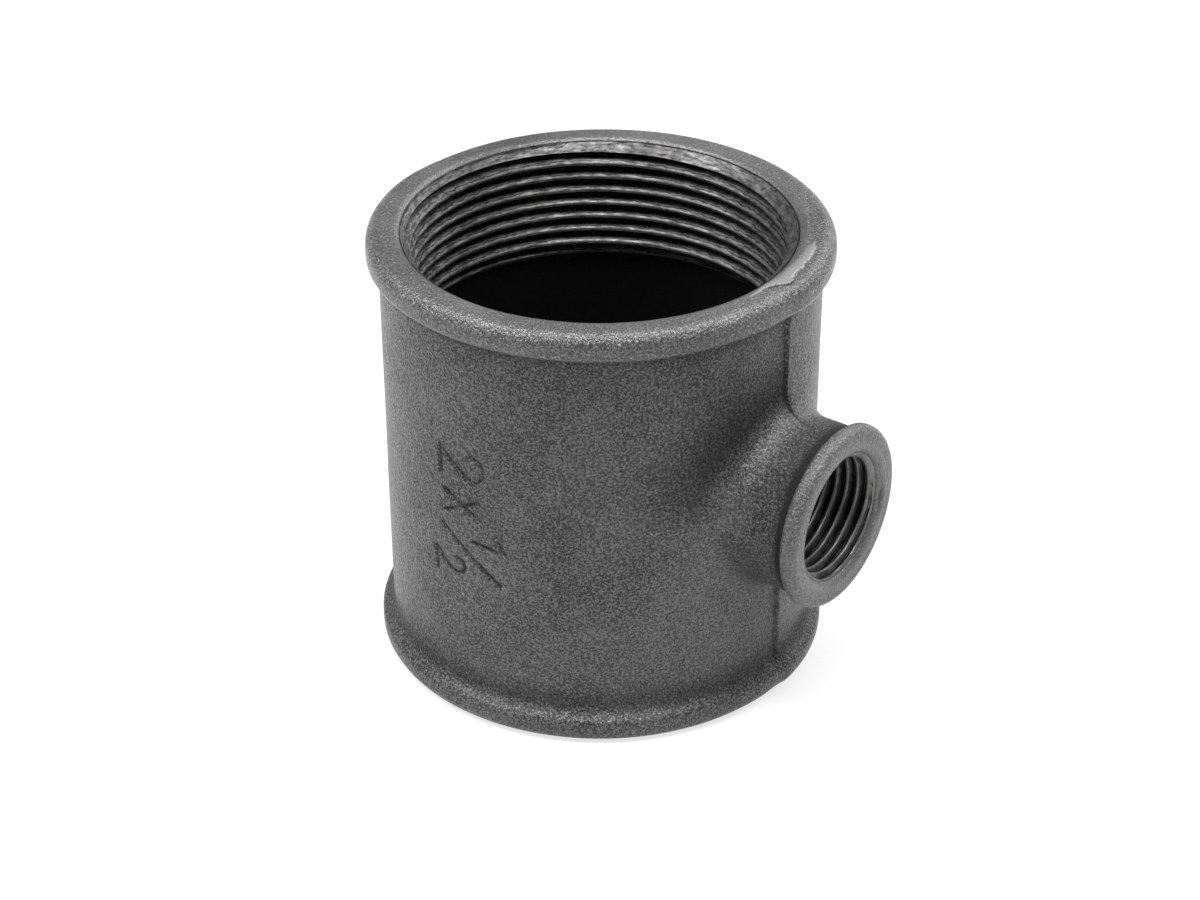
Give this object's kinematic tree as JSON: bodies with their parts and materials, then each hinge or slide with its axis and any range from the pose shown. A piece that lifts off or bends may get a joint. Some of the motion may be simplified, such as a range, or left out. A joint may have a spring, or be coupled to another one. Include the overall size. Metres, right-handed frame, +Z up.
{
  "type": "reducing tee",
  "caption": "Beaded reducing pipe tee of black malleable iron: a wide straight run with a threaded port at each end and a small threaded branch at mid-length.",
  "frame": {"origin": "centre of the run's lower port, in the plane of its rim", "axes": "+Z up along the run towards the upper port, +X along the branch towards its port"},
  "size_m": [0.0805, 0.0704, 0.071],
  "materials": {
    "black_iron": "sand-cast and annealed, with a dark grainy oxide skin; threads cut bright"
  },
  "bodies": {
    "root": {"tee_body": "black_iron"}
  },
  "joints": []
}
